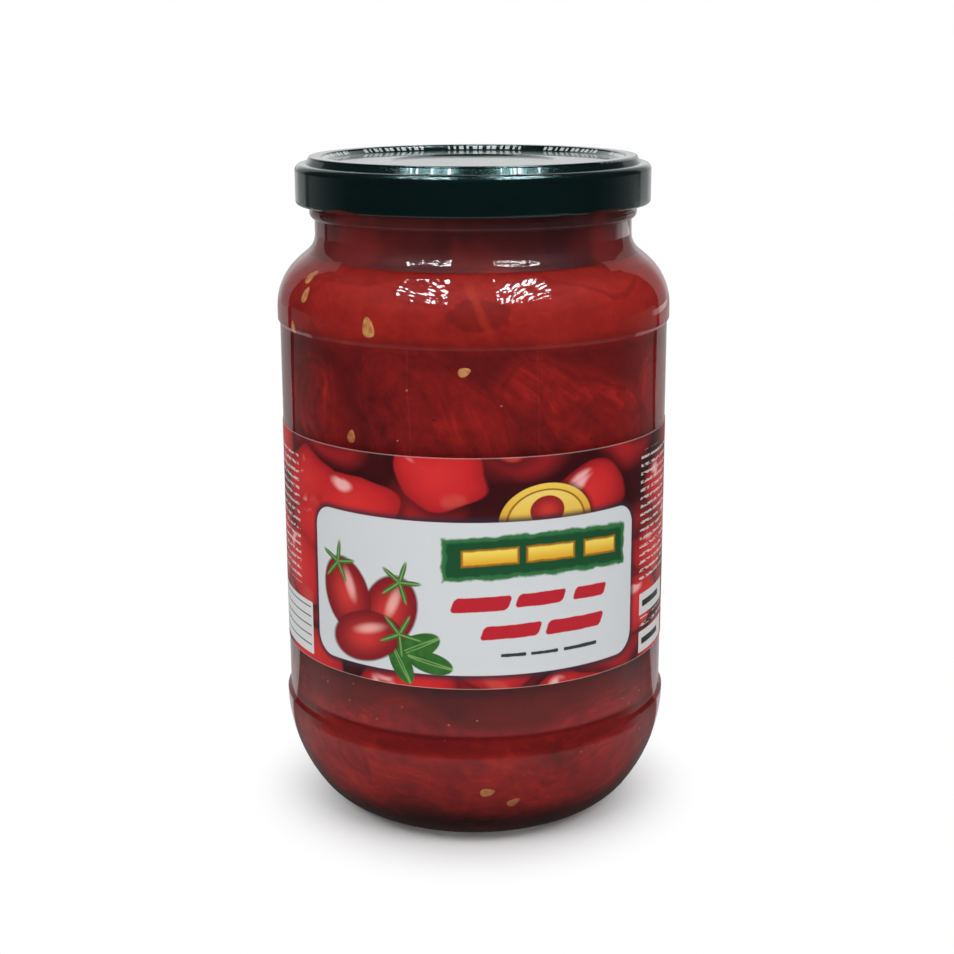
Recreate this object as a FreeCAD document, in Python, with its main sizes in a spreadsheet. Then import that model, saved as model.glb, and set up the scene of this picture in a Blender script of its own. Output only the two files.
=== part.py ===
import FreeCAD, Part
import math
import os
import re
import Sketcher

# Tall glass jar of peeled plum tomatoes, closed with a lug lid and wrapped with a paper label.
# Millimetres, +Z up, origin on the rest plane at the middle of the base, front towards -Y.

SIZES = {
    # Glass, from the sealing lip down to the base
    "glass_height": 161.4,
    "wall": 2.4,
    "finish_radius": 39.0,
    "lip_round": 1.4,
    "finish_height": 13.5,
    "bead_height": 2.9,
    "bead_depth": 0.87,
    "neck_inset": 0.65,
    "neck_height": 3.6,
    "neck_round": 5.4,
    "shoulder_slope": 50,
    "shoulder_round": 14.7,
    "shoulder_overhang": 9.5,
    "shoulder_step": 0.55,
    "shoulder_band": 2.85,
    "step_height": 0.9,
    "bulge_step": 0.8,
    "heel_top": 29.2,
    "heel_reach": 20.6,
    "heel_corner": 16.5,
    "bearing_width": 5.5,
    "push_up": 4.2,
    "base_thickness": 4.3,
    "cavity_reach": 20.7,
    "cavity_corner": 14.0,
    "foot_thickness": 4.7,
    "ease_height": 3.6,
    # Knurls under the bearing ring
    "knurl_height": 0.3,
    "knurl_length": 3.2,
    "knurl_width": 1.1,
    "knurl_count": 60,
    # Thread starts on the finish, one for each lug of the lid
    "lug_count": 4,
    "thread_reach": 1.7,
    "thread_height": 2.0,
    "thread_sweep": 58,
    "thread_gap": 0.15,
    # Lid of painted tinplate
    "sheet_metal": 0.4,
    "lid_height": 11.3,
    "skirt_clearance": 1.7,
    "channel_clearance": 0.1,
    "crown_width": 3.1,
    "crown_round": 0.5,
    "crown_rise": 1.3,
    "crown_wall_run": 1.1,
    "riser_run": 0.8,
    "riser_drop": 1.7,
    "skirt_corner": 1.6,
    "curl_round": 0.9,
    "button_radius": 19.5,
    "button_slope": 0.8,
    "button_drop": 0.4,
    "lug_sweep": 16,
    "lug_height": 1.6,
    "lug_clearance": 0.9,
    "press_height": 1.0,
    "press_half_width": 10.5,
    "closed_turn": 45,
    # Sealing compound in the lid's channel
    "seal_thickness": 0.9,
    # Paper label
    "label_thickness": 0.15,
    "label_height": 55.0,
    "label_margin": 13.9,
    "label_overlap": 10,
    "lap_turn": 90,
    # Juice and tomatoes
    "headspace": 22.9,
}

WORD = re.compile(r"\b(" + "|".join(SIZES) + r")\b")


def bound(text):
    """The expression for a cell or a formula of cells."""
    return WORD.sub(r"Size.\1", text)


def make_sheet(doc):
    sheet = doc.addObject("Spreadsheet::Sheet", "Size")
    for row, (name, size) in enumerate(SIZES.items(), 1):
        sheet.set(f"A{row}", name)
        sheet.set(f"B{row}", str(size))
        sheet.setAlias(f"B{row}", name)
    doc.recompute()


def make_body(doc, name):
    body = doc.addObject("PartDesign::Body", name)
    body.Label = name
    return body


def add_sketch(body, name, plane_role="XZ_Plane"):
    sketch = body.newObject("Sketcher::SketchObject", name)
    planes = [item for item in body.Origin.OriginFeatures if item.Role == plane_role]
    sketch.AttachmentSupport = [(planes[0], "")]
    sketch.MapMode = "FlatFace"
    return sketch


def add_feature(body, kind, name, **properties):
    """A PartDesign feature; a text value is an expression, any other is set as it is."""
    feature = body.newObject(f"PartDesign::{kind}", name)
    for key, setting in properties.items():
        if isinstance(setting, str):
            feature.setExpression(key, bound(setting))
        else:
            setattr(feature, key, setting)
    return feature


def arc_between(start, end, radius, turn):
    """The short arc from start to end; turn is 'left' or 'right' as seen along the outline."""
    chord = end - start
    side = FreeCAD.Vector(-chord.y, chord.x, 0).normalize()
    reach = math.sqrt(max(radius ** 2 - (chord.Length / 2) ** 2, 0))
    centre = (start + end) * 0.5 + side * (reach if turn == "left" else -reach)
    first, last = (start, end) if turn == "left" else (end, start)
    angles = [math.atan2(point.y - centre.y, point.x - centre.x) for point in (first, last)]
    circle = Part.Circle(centre, FreeCAD.Vector(0, 0, 1), radius)
    return Part.ArcOfCircle(circle, *angles)


def pin_point(sketch, geometry, end, place):
    """Ties one end of a line or arc to its place, two formulas measured from the origin."""
    for axis, kind, text in zip((-2, -1), ("DistanceX", "DistanceY"), place):
        if text == "0":
            sketch.addConstraint(Sketcher.Constraint("PointOnObject", geometry, end, axis))
        else:
            size = float(sketch.evalExpression(bound(text)))
            index = sketch.addConstraint(Sketcher.Constraint(kind, geometry, end, size))
            sketch.setExpression(f"Constraints[{index}]", bound(text))


def draw_outline(sketch, corners):
    """Closed outline. A corner is (x, y), reached by a line, or (x, y, radius, turn), by an arc."""
    places = [corner[:2] for corner in corners]
    points = [FreeCAD.Vector(*(float(sketch.evalExpression(bound(text))) for text in place), 0)
              for place in places]
    ends = []
    for number, corner in enumerate(corners):
        start, end = points[number - 1], points[number]
        if len(corner) == 2:
            geometry = sketch.addGeometry(Part.LineSegment(start, end), False)
            ends.append((geometry, 1, 2))
            continue
        radius_text, turn = corner[2:]
        radius = float(sketch.evalExpression(bound(radius_text)))
        geometry = sketch.addGeometry(arc_between(start, end, radius, turn), False)
        ends.append((geometry, 1, 2) if turn == "left" else (geometry, 2, 1))
        index = sketch.addConstraint(Sketcher.Constraint("Radius", geometry, radius))
        sketch.setExpression(f"Constraints[{index}]", bound(radius_text))
    for number, (geometry, first, last) in enumerate(ends):
        before, _, before_last = ends[number - 1]
        sketch.addConstraint(Sketcher.Constraint("Coincident", before, before_last, geometry, first))
        pin_point(sketch, geometry, last, places[number])


def revolve_outline(body, kind, name, corners, **properties):
    """Revolution or Groove of an outline about the upright axis."""
    sketch = add_sketch(body, f"{name}_outline")
    draw_outline(sketch, corners)
    feature = add_feature(body, kind, name, Profile=sketch, **properties)
    feature.ReferenceAxis = (sketch, ["V_Axis"])
    return feature


def polar_copies(body, feature, count):
    """Equal copies of a feature all round the upright axis."""
    pattern = add_feature(body, "PolarPattern", f"{feature.Name}_ring", Originals=[feature],
                          Angle=360, Occurrences=count)
    uprights = [item for item in body.Origin.OriginFeatures if item.Role == "Z_Axis"]
    pattern.Axis = (uprights[0], [""])
    body.Tip = pattern


def turn_body(body, angle, lift="0"):
    """Stands a body at its height, turned about the upright axis."""
    body.setExpression("Placement.Base.z", bound(lift))
    body.setExpression("Placement.Rotation.Angle", bound(angle))


# Radii and heights that follow from the sizes, as formulas
NECK_RADIUS = "(finish_radius - neck_inset)"
SHOULDER_RADIUS = f"({NECK_RADIUS} + shoulder_overhang)"
PANEL_RADIUS = f"({SHOULDER_RADIUS} - shoulder_step)"
BULGE_RADIUS = f"({PANEL_RADIUS} + bulge_step)"
BEARING_RADIUS = f"({BULGE_RADIUS} - heel_reach)"
BEAD_BOTTOM = "(glass_height - finish_height)"
NECK_BOTTOM = f"({BEAD_BOTTOM} - neck_height)"
SLOPE_LENGTH = ("((shoulder_overhang - (neck_round + shoulder_round)"
                " * (1 - cos(shoulder_slope))) / sin(shoulder_slope))")
SHOULDER_BOTTOM = (f"({NECK_BOTTOM} - (neck_round + shoulder_round) * sin(shoulder_slope)"
                   f" - {SLOPE_LENGTH} * cos(shoulder_slope))")
UPPER_STEP = f"({SHOULDER_BOTTOM} - shoulder_band)"
LOWER_STEP = "(heel_top + step_height)"
LID_BOTTOM = "(glass_height + seal_thickness + sheet_metal - lid_height)"
LID_RADIUS = "(finish_radius + thread_reach + skirt_clearance + sheet_metal)"


def shoulder(inset):
    """Neck, sloping shoulder and the round above the body, downwards, set in from the outside."""
    neck_curve = f"(neck_round + {inset})"
    body_curve = f"(shoulder_round - {inset})"
    return [
        (f"{NECK_RADIUS} - {inset}", NECK_BOTTOM),
        (f"{NECK_RADIUS} + neck_round - {neck_curve} * cos(shoulder_slope)",
         f"{NECK_BOTTOM} - {neck_curve} * sin(shoulder_slope)", neck_curve, "left"),
        (f"{SHOULDER_RADIUS} - shoulder_round + {body_curve} * cos(shoulder_slope)",
         f"{SHOULDER_BOTTOM} + {body_curve} * sin(shoulder_slope)"),
        (f"{SHOULDER_RADIUS} - {inset}", SHOULDER_BOTTOM, body_curve, "right"),
    ]


def heel(side, reach, floor, corner):
    """Wall to base in two tangent arcs: a long one down the side and a tighter one at the foot."""
    foot = f"({side} - {reach})"
    drop = f"(heel_top - {floor})"
    long_arc = f"(({reach}^2 + {drop}^2 - 2 * {drop} * {corner}) / (2 * ({reach} - {corner})))"
    share = f"({corner} / ({long_arc} - {corner}))"
    return [
        (side, "heel_top"),
        (f"{foot} + ({long_arc} - {reach}) * {share}",
         f"{floor} + {corner} - ({drop} - {corner}) * {share}", long_arc, "right"),
        (foot, floor, corner, "right"),
    ]


def dome(foot, floor, crown):
    """Shallow dome from the foot up to the middle of the base."""
    rise = f"({crown} - {floor})"
    return [("0", crown, f"(({foot})^2 + {rise}^2) / (2 * {rise})", "left")]


def glass_outside():
    foot = f"({BEARING_RADIUS} - bearing_width)"
    bead = "((neck_inset^2 + bead_height^2) / 4 + bead_depth^2) / (2 * bead_depth)"
    return [
        ("0", "glass_height"),
        ("finish_radius - lip_round", "glass_height"),
        ("finish_radius", "glass_height - lip_round", "lip_round", "right"),
        ("finish_radius", f"{BEAD_BOTTOM} + bead_height"),
        (NECK_RADIUS, BEAD_BOTTOM, bead, "right"),
        *shoulder("0"),
        (SHOULDER_RADIUS, UPPER_STEP),
        (PANEL_RADIUS, f"{UPPER_STEP} - step_height"),
        (PANEL_RADIUS, LOWER_STEP),
        *heel(BULGE_RADIUS, "heel_reach", "knurl_height", "heel_corner"),
        (foot, "knurl_height"),
        *dome(foot, "knurl_height", "push_up"),
    ]


def cavity():
    """The room inside the glass, open above the mouth."""
    floor = "(knurl_height + foot_thickness)"
    above = "glass_height + lip_round"
    bore = f"({NECK_RADIUS} - wall)"
    side = f"({BULGE_RADIUS} - wall)"
    return [
        ("0", above),
        (f"{bore} + lip_round", above),
        (f"{bore} + lip_round", "glass_height"),
        (bore, "glass_height - lip_round", "lip_round", "left"),
        *shoulder("wall"),
        (f"{PANEL_RADIUS} - wall", f"{UPPER_STEP} - ease_height"),
        (f"{PANEL_RADIUS} - wall", f"{LOWER_STEP} + ease_height"),
        *heel(side, "cavity_reach", floor, "cavity_corner"),
        *dome(f"{side} - cavity_reach", floor, "(push_up + base_thickness)"),
    ]


def make_jar(doc):
    """Pressed and blown glass: body, heel, finish, knurled bearing ring and thread starts."""
    jar = make_body(doc, "jar")
    revolve_outline(jar, "Revolution", "glass", glass_outside(), Angle=360)
    revolve_outline(jar, "Groove", "inside", cavity(), Angle=360)
    doc.recompute()
    knurl_middle = f"({BEARING_RADIUS} - bearing_width / 2)"
    sketch = add_sketch(jar, "knurl_outline", "XY_Plane")
    draw_outline(sketch, [
        (f"{knurl_middle} - knurl_length / 2", "-knurl_width / 2"),
        (f"{knurl_middle} + knurl_length / 2", "-knurl_width / 2"),
        (f"{knurl_middle} + knurl_length / 2", "knurl_width / 2", "knurl_width", "left"),
        (f"{knurl_middle} - knurl_length / 2", "knurl_width / 2"),
    ])
    knurl = add_feature(jar, "Pad", "knurl", Profile=sketch, Length="2 * knurl_height")
    polar_copies(jar, knurl, "knurl_count")
    thread_low = f"({LID_BOTTOM} + press_height + lug_height + thread_gap)"
    thread_edge = "(finish_radius + thread_reach)"
    ridge = revolve_outline(jar, "Revolution", "thread_start", [
        ("finish_radius - thread_reach / 2", f"{thread_low} + thread_height"),
        ("finish_radius", f"{thread_low} + thread_height"),
        (thread_edge, f"{thread_low} + thread_height / 2", "thread_height", "right"),
        (thread_edge, thread_low),
        ("finish_radius - thread_reach / 2", thread_low),
    ], Angle="thread_sweep", Midplane=True)
    polar_copies(jar, ridge, "lug_count")
    turn_body(jar, "closed_turn")


def make_contents(doc):
    """Juice and the tomatoes packed in it, up to the level below the lip."""
    contents = make_body(doc, "contents")
    revolve_outline(contents, "Revolution", "filling", cavity(), Angle=360)
    sketch = add_sketch(contents, "level_outline", "XY_Plane")
    sketch.setExpression("AttachmentOffset.Base.z", bound("glass_height - headspace"))
    far = BULGE_RADIUS
    draw_outline(sketch, [(f"-{far}", f"-{far}"), (far, f"-{far}"), (far, far), (f"-{far}", far)])
    add_feature(contents, "Pocket", "level", Profile=sketch, Length="glass_height", Reversed=True)


def lid_outline():
    """Sheet metal from the button out to the curled edge, and back along its underside."""
    crown = "(finish_radius + channel_clearance + sheet_metal)"
    crown_inside = f"({crown} - crown_width)"
    panel = "(sheet_metal - crown_rise)"
    button = f"({panel} - button_drop)"
    ledge = "(sheet_metal - riser_drop)"
    edge = "(sheet_metal - lid_height)"
    return [
        ("0", button),
        ("button_radius", button),
        ("button_radius + button_slope", panel),
        (f"{crown_inside} - crown_wall_run", panel),
        (crown_inside, "sheet_metal - crown_round"),
        (f"{crown_inside} + crown_round", "sheet_metal", "crown_round", "right"),
        (f"{crown} - crown_round", "sheet_metal"),
        (crown, "sheet_metal - crown_round", "crown_round", "right"),
        (f"{crown} + riser_run", ledge),
        (f"{LID_RADIUS} - skirt_corner", ledge),
        (LID_RADIUS, f"{ledge} - skirt_corner", "skirt_corner", "right"),
        (LID_RADIUS, f"{edge} + curl_round"),
        (f"{LID_RADIUS} - curl_round", edge, "curl_round", "right"),
        (f"{LID_RADIUS} - 2 * curl_round", f"{edge} + curl_round", "curl_round", "right"),
        (f"{LID_RADIUS} - curl_round", f"{edge} + 2 * curl_round", "curl_round", "right"),
        (f"{LID_RADIUS} - sheet_metal", f"{edge} + 2 * curl_round"),
        (f"{LID_RADIUS} - sheet_metal", f"{ledge} - skirt_corner"),
        (f"{LID_RADIUS} - skirt_corner", f"{ledge} - sheet_metal", "skirt_corner - sheet_metal", "left"),
        (f"{crown} + riser_run - sheet_metal", f"{ledge} - sheet_metal"),
        (f"{crown} - sheet_metal", "0"),
        (f"{crown_inside} + sheet_metal", "0"),
        (f"{crown_inside} - crown_wall_run + sheet_metal", f"{panel} - sheet_metal"),
        ("button_radius + button_slope", f"{panel} - sheet_metal"),
        ("button_radius", f"{button} - sheet_metal"),
        ("0", f"{button} - sheet_metal"),
    ]


def press_wave(lid):
    """The curled edge rises in a soft wave where each lug is pressed in."""
    edge = "(sheet_metal - lid_height)"
    bend = "((press_half_width^2 + press_height^2) / (4 * press_height))"
    sketch = add_sketch(lid, "wave_outline", "YZ_Plane")
    draw_outline(sketch, [
        ("-press_half_width", f"{edge} - press_height"),
        ("press_half_width", f"{edge} - press_height"),
        ("press_half_width", edge),
        ("press_half_width / 2", f"{edge} + press_height / 2", bend, "right"),
        ("-press_half_width / 2", f"{edge} + press_height / 2", bend, "left"),
        ("-press_half_width", edge, bend, "right"),
    ])
    wave = add_feature(lid, "Pocket", "wave", Profile=sketch, Length=f"2 * {LID_RADIUS}", Reversed=True)
    polar_copies(lid, wave, "lug_count")


def make_lid(doc):
    """Twist-off lid with its stacking crown, safety button, curl and pressed lugs."""
    lid = make_body(doc, "lid")
    revolve_outline(lid, "Revolution", "pressing", lid_outline(), Angle=360)
    press_wave(lid)
    lug_low = "(sheet_metal - lid_height + press_height)"
    nose = "(finish_radius + lug_clearance)"
    lug = revolve_outline(lid, "Revolution", "lug", [
        (f"{LID_RADIUS} - sheet_metal / 2", f"{lug_low} + lug_height"),
        (f"{LID_RADIUS} - sheet_metal / 2", lug_low),
        (f"{nose} + lug_height / 2", lug_low),
        (nose, f"{lug_low} + lug_height / 2", "lug_height / 2", "right"),
        (f"{nose} + lug_height / 2", f"{lug_low} + lug_height", "lug_height / 2", "right"),
    ], Angle="lug_sweep", Midplane=True)
    polar_copies(lid, lug, "lug_count")
    turn_body(lid, "closed_turn", "glass_height + seal_thickness")


def make_seal(doc):
    """Ring of sealing compound between the lid's channel and the lip."""
    seal = make_body(doc, "seal")
    outer = "(finish_radius + channel_clearance)"
    inner = f"({outer} - crown_width + 2 * sheet_metal)"
    revolve_outline(seal, "Revolution", "ring", [
        (outer, "0"),
        (inner, "0"),
        (inner, "seal_thickness"),
        (outer, "seal_thickness"),
    ], Angle=360)
    turn_body(seal, "closed_turn", "glass_height")


def make_label(doc):
    """Paper wrapped round the panel, with its ends lapped at the back."""
    label = make_body(doc, "label")
    paper_edge = f"({PANEL_RADIUS} + label_thickness)"
    for name, inner, outer, sweep in (
        ("wrap", PANEL_RADIUS, paper_edge, "360"),
        ("lap", f"{PANEL_RADIUS} + label_thickness / 2", f"{paper_edge} + label_thickness",
         f"label_overlap / {PANEL_RADIUS} * 180 / pi"),
    ):
        revolve_outline(label, "Revolution", name, [
            (inner, "0"),
            (outer, "0"),
            (outer, "label_height"),
            (inner, "label_height"),
        ], Angle=sweep, Midplane=True)
    turn_body(label, "lap_turn", f"{LOWER_STEP} + label_margin")


def check_model(doc):
    """Stops on a failed object or a body whose solid isn't one sound piece."""
    doc.recompute()
    for item in doc.Objects:
        if "Invalid" in item.State or "Error" in item.State:
            raise RuntimeError(f"{item.Name} failed: {item.State}")
    bodies = [item for item in doc.Objects if item.isDerivedFrom("PartDesign::Body")]
    for body in bodies:
        shape = body.Shape
        if shape.isNull() or not shape.isValid() or len(shape.Solids) != 1:
            raise RuntimeError(f"{body.Label} isn't one sound solid")
    return bodies


def main():
    doc = FreeCAD.newDocument("tomato_jar")
    make_sheet(doc)
    for make in (make_jar, make_contents, make_seal, make_lid, make_label):
        make(doc)
    os.makedirs("parts", exist_ok=True)
    for body in check_model(doc):
        box = body.Shape.BoundBox
        body.Shape.exportStep(f"parts/{body.Label}.step")
        print(f"{body.Label}: {body.Shape.Volume / 1000:.1f} cm3, z {box.ZMin:.2f} to {box.ZMax:.2f},"
              f" x {box.XMin:.2f} to {box.XMax:.2f}")


main()
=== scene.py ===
"""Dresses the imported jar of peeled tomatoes: glass, tomatoes in juice, seeds, lid and printed label."""

import math

import bpy
import numpy as np
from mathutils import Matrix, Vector


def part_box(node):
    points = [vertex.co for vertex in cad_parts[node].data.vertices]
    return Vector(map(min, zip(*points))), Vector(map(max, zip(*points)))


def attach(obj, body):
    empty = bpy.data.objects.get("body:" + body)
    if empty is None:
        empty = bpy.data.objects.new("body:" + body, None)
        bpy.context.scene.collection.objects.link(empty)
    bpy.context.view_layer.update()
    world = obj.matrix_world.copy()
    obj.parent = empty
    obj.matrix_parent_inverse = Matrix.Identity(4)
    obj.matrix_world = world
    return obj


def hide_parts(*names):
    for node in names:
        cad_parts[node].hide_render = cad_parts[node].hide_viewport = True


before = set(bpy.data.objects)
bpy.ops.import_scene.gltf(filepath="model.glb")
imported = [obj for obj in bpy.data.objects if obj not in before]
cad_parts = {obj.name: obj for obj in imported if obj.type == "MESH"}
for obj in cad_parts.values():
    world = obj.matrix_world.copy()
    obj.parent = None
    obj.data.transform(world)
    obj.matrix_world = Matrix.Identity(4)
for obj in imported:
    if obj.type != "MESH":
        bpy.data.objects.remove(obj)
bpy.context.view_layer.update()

MM = 0.001                # metres in a millimetre
WHITE = (1.0, 1.0, 1.0, 1.0)

# where things are on the jar, in millimetres
FOOT_RIBS = 2.6           # height of the fine ribs round the foot
FOOT_STEP = 29.6          # height of the step over the foot's bulge
SHOULDER_STEP = 124.4     # height of the step under the shoulder's bulge
LABEL_OUT = 47.4          # radius of the label
LABEL_MIDDLE = 71.5       # height of the label's middle
LID_WORDS = 162.02        # height of the dashes on the lid


# ---------------------------------------------------------------- materials

class Value:
    """A number on its way through a finish. Arithmetic on it adds Math nodes."""

    def __init__(self, finish, socket):
        self.finish = finish
        self.socket = socket

    def __add__(self, other):
        return self.finish.math("ADD", self, other)

    def __sub__(self, other):
        return self.finish.math("SUBTRACT", self, other)

    def __rsub__(self, other):
        return self.finish.math("SUBTRACT", other, self)

    def __mul__(self, other):
        return self.finish.math("MULTIPLY", self, other)

    def __truediv__(self, other):
        return self.finish.math("DIVIDE", self, other)

    def __pow__(self, other):
        return self.finish.math("POWER", self, other)

    def __abs__(self):
        return self.finish.math("ABSOLUTE", self)

    def __and__(self, other):
        return self.finish.math("MINIMUM", self, other)

    def __or__(self, other):
        return self.finish.math("MAXIMUM", self, other)

    __radd__ = __add__
    __rmul__ = __mul__


class Finish:
    """A material, or the world, built from nodes."""

    def __init__(self, name, owner=None):
        self.owner = owner or bpy.data.materials.new(name)
        self.owner.use_nodes = True
        self.tree = self.owner.node_tree
        self.tree.nodes.clear()

    def node(self, kind, settings=None, inputs=None):
        made = self.tree.nodes.new(kind)
        for name, value in (settings or {}).items():
            if name == "stops":
                ramp = made.color_ramp.elements
                while len(ramp) < len(value):
                    ramp.new(0.5)
                for stop, (place, colour) in zip(ramp, value):
                    stop.position = place
                    stop.color = (*colour, 1.0)
            else:
                setattr(made, name, value)
        for name, value in (inputs or {}).items():
            value = getattr(value, "socket", value)
            if isinstance(value, bpy.types.NodeSocket):
                self.tree.links.new(value, made.inputs[name])
            else:
                made.inputs[name].default_value = value
        return made

    def math(self, operation, *terms):
        made = self.node("ShaderNodeMath", {"operation": operation}, dict(enumerate(terms)))
        return Value(self, made.outputs[0])

    def step(self, value, low, high, first=0.0, last=1.0):
        """Runs smoothly from first to last while value runs from low to high."""
        if low > high:
            low, high, first, last = high, low, last, first
        made = self.node("ShaderNodeMapRange", {"interpolation_type": "SMOOTHSTEP"},
                         {"Value": value, "From Min": low, "From Max": high,
                          "To Min": first, "To Max": last})
        return Value(self, made.outputs[0])

    def mix(self, share, first, second, blend="MIX"):
        pair = [c if isinstance(c, bpy.types.NodeSocket) else (*c[:3], 1.0) for c in (first, second)]
        made = self.node("ShaderNodeMix", {"data_type": "RGBA", "blend_type": blend},
                         {0: share, 6: pair[0], 7: pair[1]})
        return made.outputs[2]

    def ramp(self, value, stops):
        return self.node("ShaderNodeValToRGB", {"stops": stops}, {"Fac": value}).outputs[0]

    def place(self):
        """Object coordinates in millimetres: the vector and its three values."""
        spot = self.node("ShaderNodeTexCoord").outputs["Object"]
        spot = self.node("ShaderNodeVectorMath", {"operation": "SCALE"},
                         {0: spot, "Scale": 1 / MM}).outputs[0]
        parts = self.node("ShaderNodeSeparateXYZ", None, {0: spot}).outputs
        return spot, [Value(self, part) for part in parts]

    def vector(self, x, y, z=0.0):
        return self.node("ShaderNodeCombineXYZ", None, {0: x, 1: y, 2: z}).outputs[0]

    def stretch(self, vector, x, y, z):
        return self.node("ShaderNodeVectorMath", {"operation": "MULTIPLY"},
                         {0: vector, 1: (x, y, z)}).outputs[0]

    def noise(self, vector, scale, detail=2.0, roughness=0.5, distortion=0.0):
        made = self.node("ShaderNodeTexNoise", None,
                         {"Vector": vector, "Scale": scale, "Detail": detail,
                          "Roughness": roughness, "Distortion": distortion})
        return Value(self, made.outputs[0])

    def bump(self, height, distance):
        return self.node("ShaderNodeBump", None,
                         {"Height": height, "Distance": distance, "Strength": 1.0}).outputs[0]

    def principled(self, **inputs):
        named = {name.replace("_", " "): value for name, value in inputs.items()}
        return self.node("ShaderNodeBsdfPrincipled", None, named).outputs[0]

    def surface(self, shader):
        self.node("ShaderNodeOutputMaterial", None, {"Surface": shader})
        return self.owner


def clear_glass():
    """Colourless soda-lime glass, very slightly uneven, which lets lamps reach what it holds."""
    glass = Finish("clear_glass")
    spot, (x, y, z) = glass.place()
    drawn = glass.stretch(spot, 1.0, 1.0, 0.45)
    ripple = glass.noise(drawn, 0.085, 1.0, 0.4)
    ribs = glass.math("SINE", glass.math("ARCTAN2", x, y) * 230.0)
    ribs = ribs * glass.step(abs(z - FOOT_RIBS), 1.7, 0.9)
    body = glass.principled(Base_Color=(0.975, 0.985, 0.98, 1.0), Roughness=0.0, IOR=1.5,
                            Transmission_Weight=1.0, Normal=glass.bump(ripple + ribs * 0.25, 0.00022))
    ray = glass.node("ShaderNodeLightPath").outputs
    open_to = Value(glass, ray["Is Shadow Ray"]) | Value(glass, ray["Is Diffuse Ray"])
    # the front of the two steps doesn't mirror, which keeps bright specks off their lines
    steps = glass.step(abs(z - FOOT_STEP), 3.2, 2.2) | glass.step(abs(z - SHOULDER_STEP), 1.8, 0.6) * 0.6
    open_to = open_to * glass.step(z, 3.0, 9.0) | steps * glass.step(y, -24.0, -34.0)
    clear = glass.node("ShaderNodeBsdfTransparent", None, {"Color": (0.95, 0.97, 0.96, 1.0)}).outputs[0]
    return glass.surface(glass.node("ShaderNodeMixShader", None,
                                    {0: open_to, 1: body, 2: clear}).outputs[0])


def tomato_in_juice():
    """Peeled flesh pressed to the glass, darker where the juice lies deep between two tomatoes, with painted
    light on the shoulder and the lower sides and painted shade near the floor, along the lower step and
    under the neck.
    """
    flesh = Finish("tomato_in_juice")
    spot, (x, y, z) = flesh.place()

    def carried(name, output="Fac"):
        return flesh.node("ShaderNodeAttribute", {"attribute_name": name}).outputs[output]

    depth, tone, wet = [Value(flesh, carried(name)) for name in ("depth", "tone", "wet")]
    grain = carried("grain", "Vector")
    strands = flesh.noise(flesh.stretch(grain, 1.0, 1.0, 0.10), 0.50, 3.0, 0.62, 0.7)
    cloud = flesh.noise(spot, 0.055, 2.0, 0.5)
    pulp = flesh.noise(spot, 0.30, 4.0, 0.6)
    fibre = flesh.step(strands, 0.54, 0.68) * flesh.step(cloud, 0.40, 0.56)
    light = tone + 0.36 * (strands - 0.5) + 0.6 * (cloud - 0.5) + 0.6 * (pulp - 0.5) + 0.14 * fibre
    # painted light: the flesh in the shoulder made lighter, where more light falls
    shoulder_light = flesh.step(z, 121.0, 126.0) * 0.33
    # darker towards the bottom: painted shade near the floor, and partly juice pooled at the bottom
    bottom_shade_and_pooled_juice = flesh.step(z, 14.5, 6.0) * 0.42
    over_step = flesh.step(z, 31.0, 36.0) * flesh.step(z, 60.0, 50.0) * 0.14
    to_right = flesh.step(z, 60.0, 95.0) * (x * 0.0020)
    # painted light: the lower bulge made lighter towards its sides
    lower_side_light = flesh.step(z, 50.0, 35.0) * abs(x) * 0.0018
    light = light + shoulder_light - bottom_shade_and_pooled_juice - over_step + to_right + lower_side_light
    skinless = flesh.ramp(light, [(0.02, (0.05, 0.002, 0.003)), (0.36, (0.18, 0.006, 0.006)),
                                  (0.62, (0.28, 0.010, 0.008)), (0.95, (0.39, 0.017, 0.010))])
    juice = flesh.mix(cloud, (0.05, 0.0025, 0.003), (0.11, 0.004, 0.004))
    murk = flesh.step(depth + 1.6 * (pulp - 0.5), -0.5, 3.0)
    # the juice's darkness fades at the shoulder, which also paints the shoulder lighter
    murk = murk * flesh.step(z, 120.0, 127.0, 0.72, 0.30)
    crease = flesh.step(abs(depth + 0.8 * (pulp - 0.5) - 0.3), 0.6, 0.1) * 0.40
    # painted shade along the lower step of the glass: a soft band and a dark line at its edge
    step_shade = flesh.step(abs(z - 29.5), 3.6, 1.8) * 0.5
    step_edge_shade = flesh.step(abs(z - 30.9), 1.0, 0.3) * 0.8
    # painted shade under the neck and the lid
    neck_shade = flesh.step(z, 132.0, 138.0) * 0.35
    # soft hollow at the middle of the shoulder, with a paler rib of flesh lying across it
    front = flesh.step(y, -20.0, -30.0)
    off_x = (x - 1.2) / 7.0
    off_z = (z - 130.6) / 3.6
    round_off = (off_x * off_x + off_z * off_z) ** 0.5 + 0.9 * (pulp - 0.5)
    hollow = flesh.step(round_off, 1.15, 0.8) * front * 0.62
    beside = abs(x - 1.4 + (z - 131.5) * 0.46 + 3.0 * (pulp - 0.5))
    rib = flesh.step(beside, 1.6, 0.4) * flesh.step(abs(z - 131.6), 6.4, 3.4) * front * 0.45
    # juice colour where the juice lies deep or between tomatoes, together with the painted shade at the step
    # and under the neck
    juice_and_shade = murk | crease | step_shade | step_edge_shade | neck_shade | hollow
    colour = flesh.mix(juice_and_shade, skinless, juice)
    colour = flesh.mix(rib, colour, (0.36, 0.026, 0.010))
    return flesh.surface(flesh.principled(
        Base_Color=colour, Roughness=flesh.step(wet, 0.0, 1.0, 0.5, 0.22),
        Specular_IOR_Level=0.1, Coat_Weight=wet, Coat_Roughness=0.06,
        Normal=flesh.bump(pulp, 0.0001)))


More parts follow.
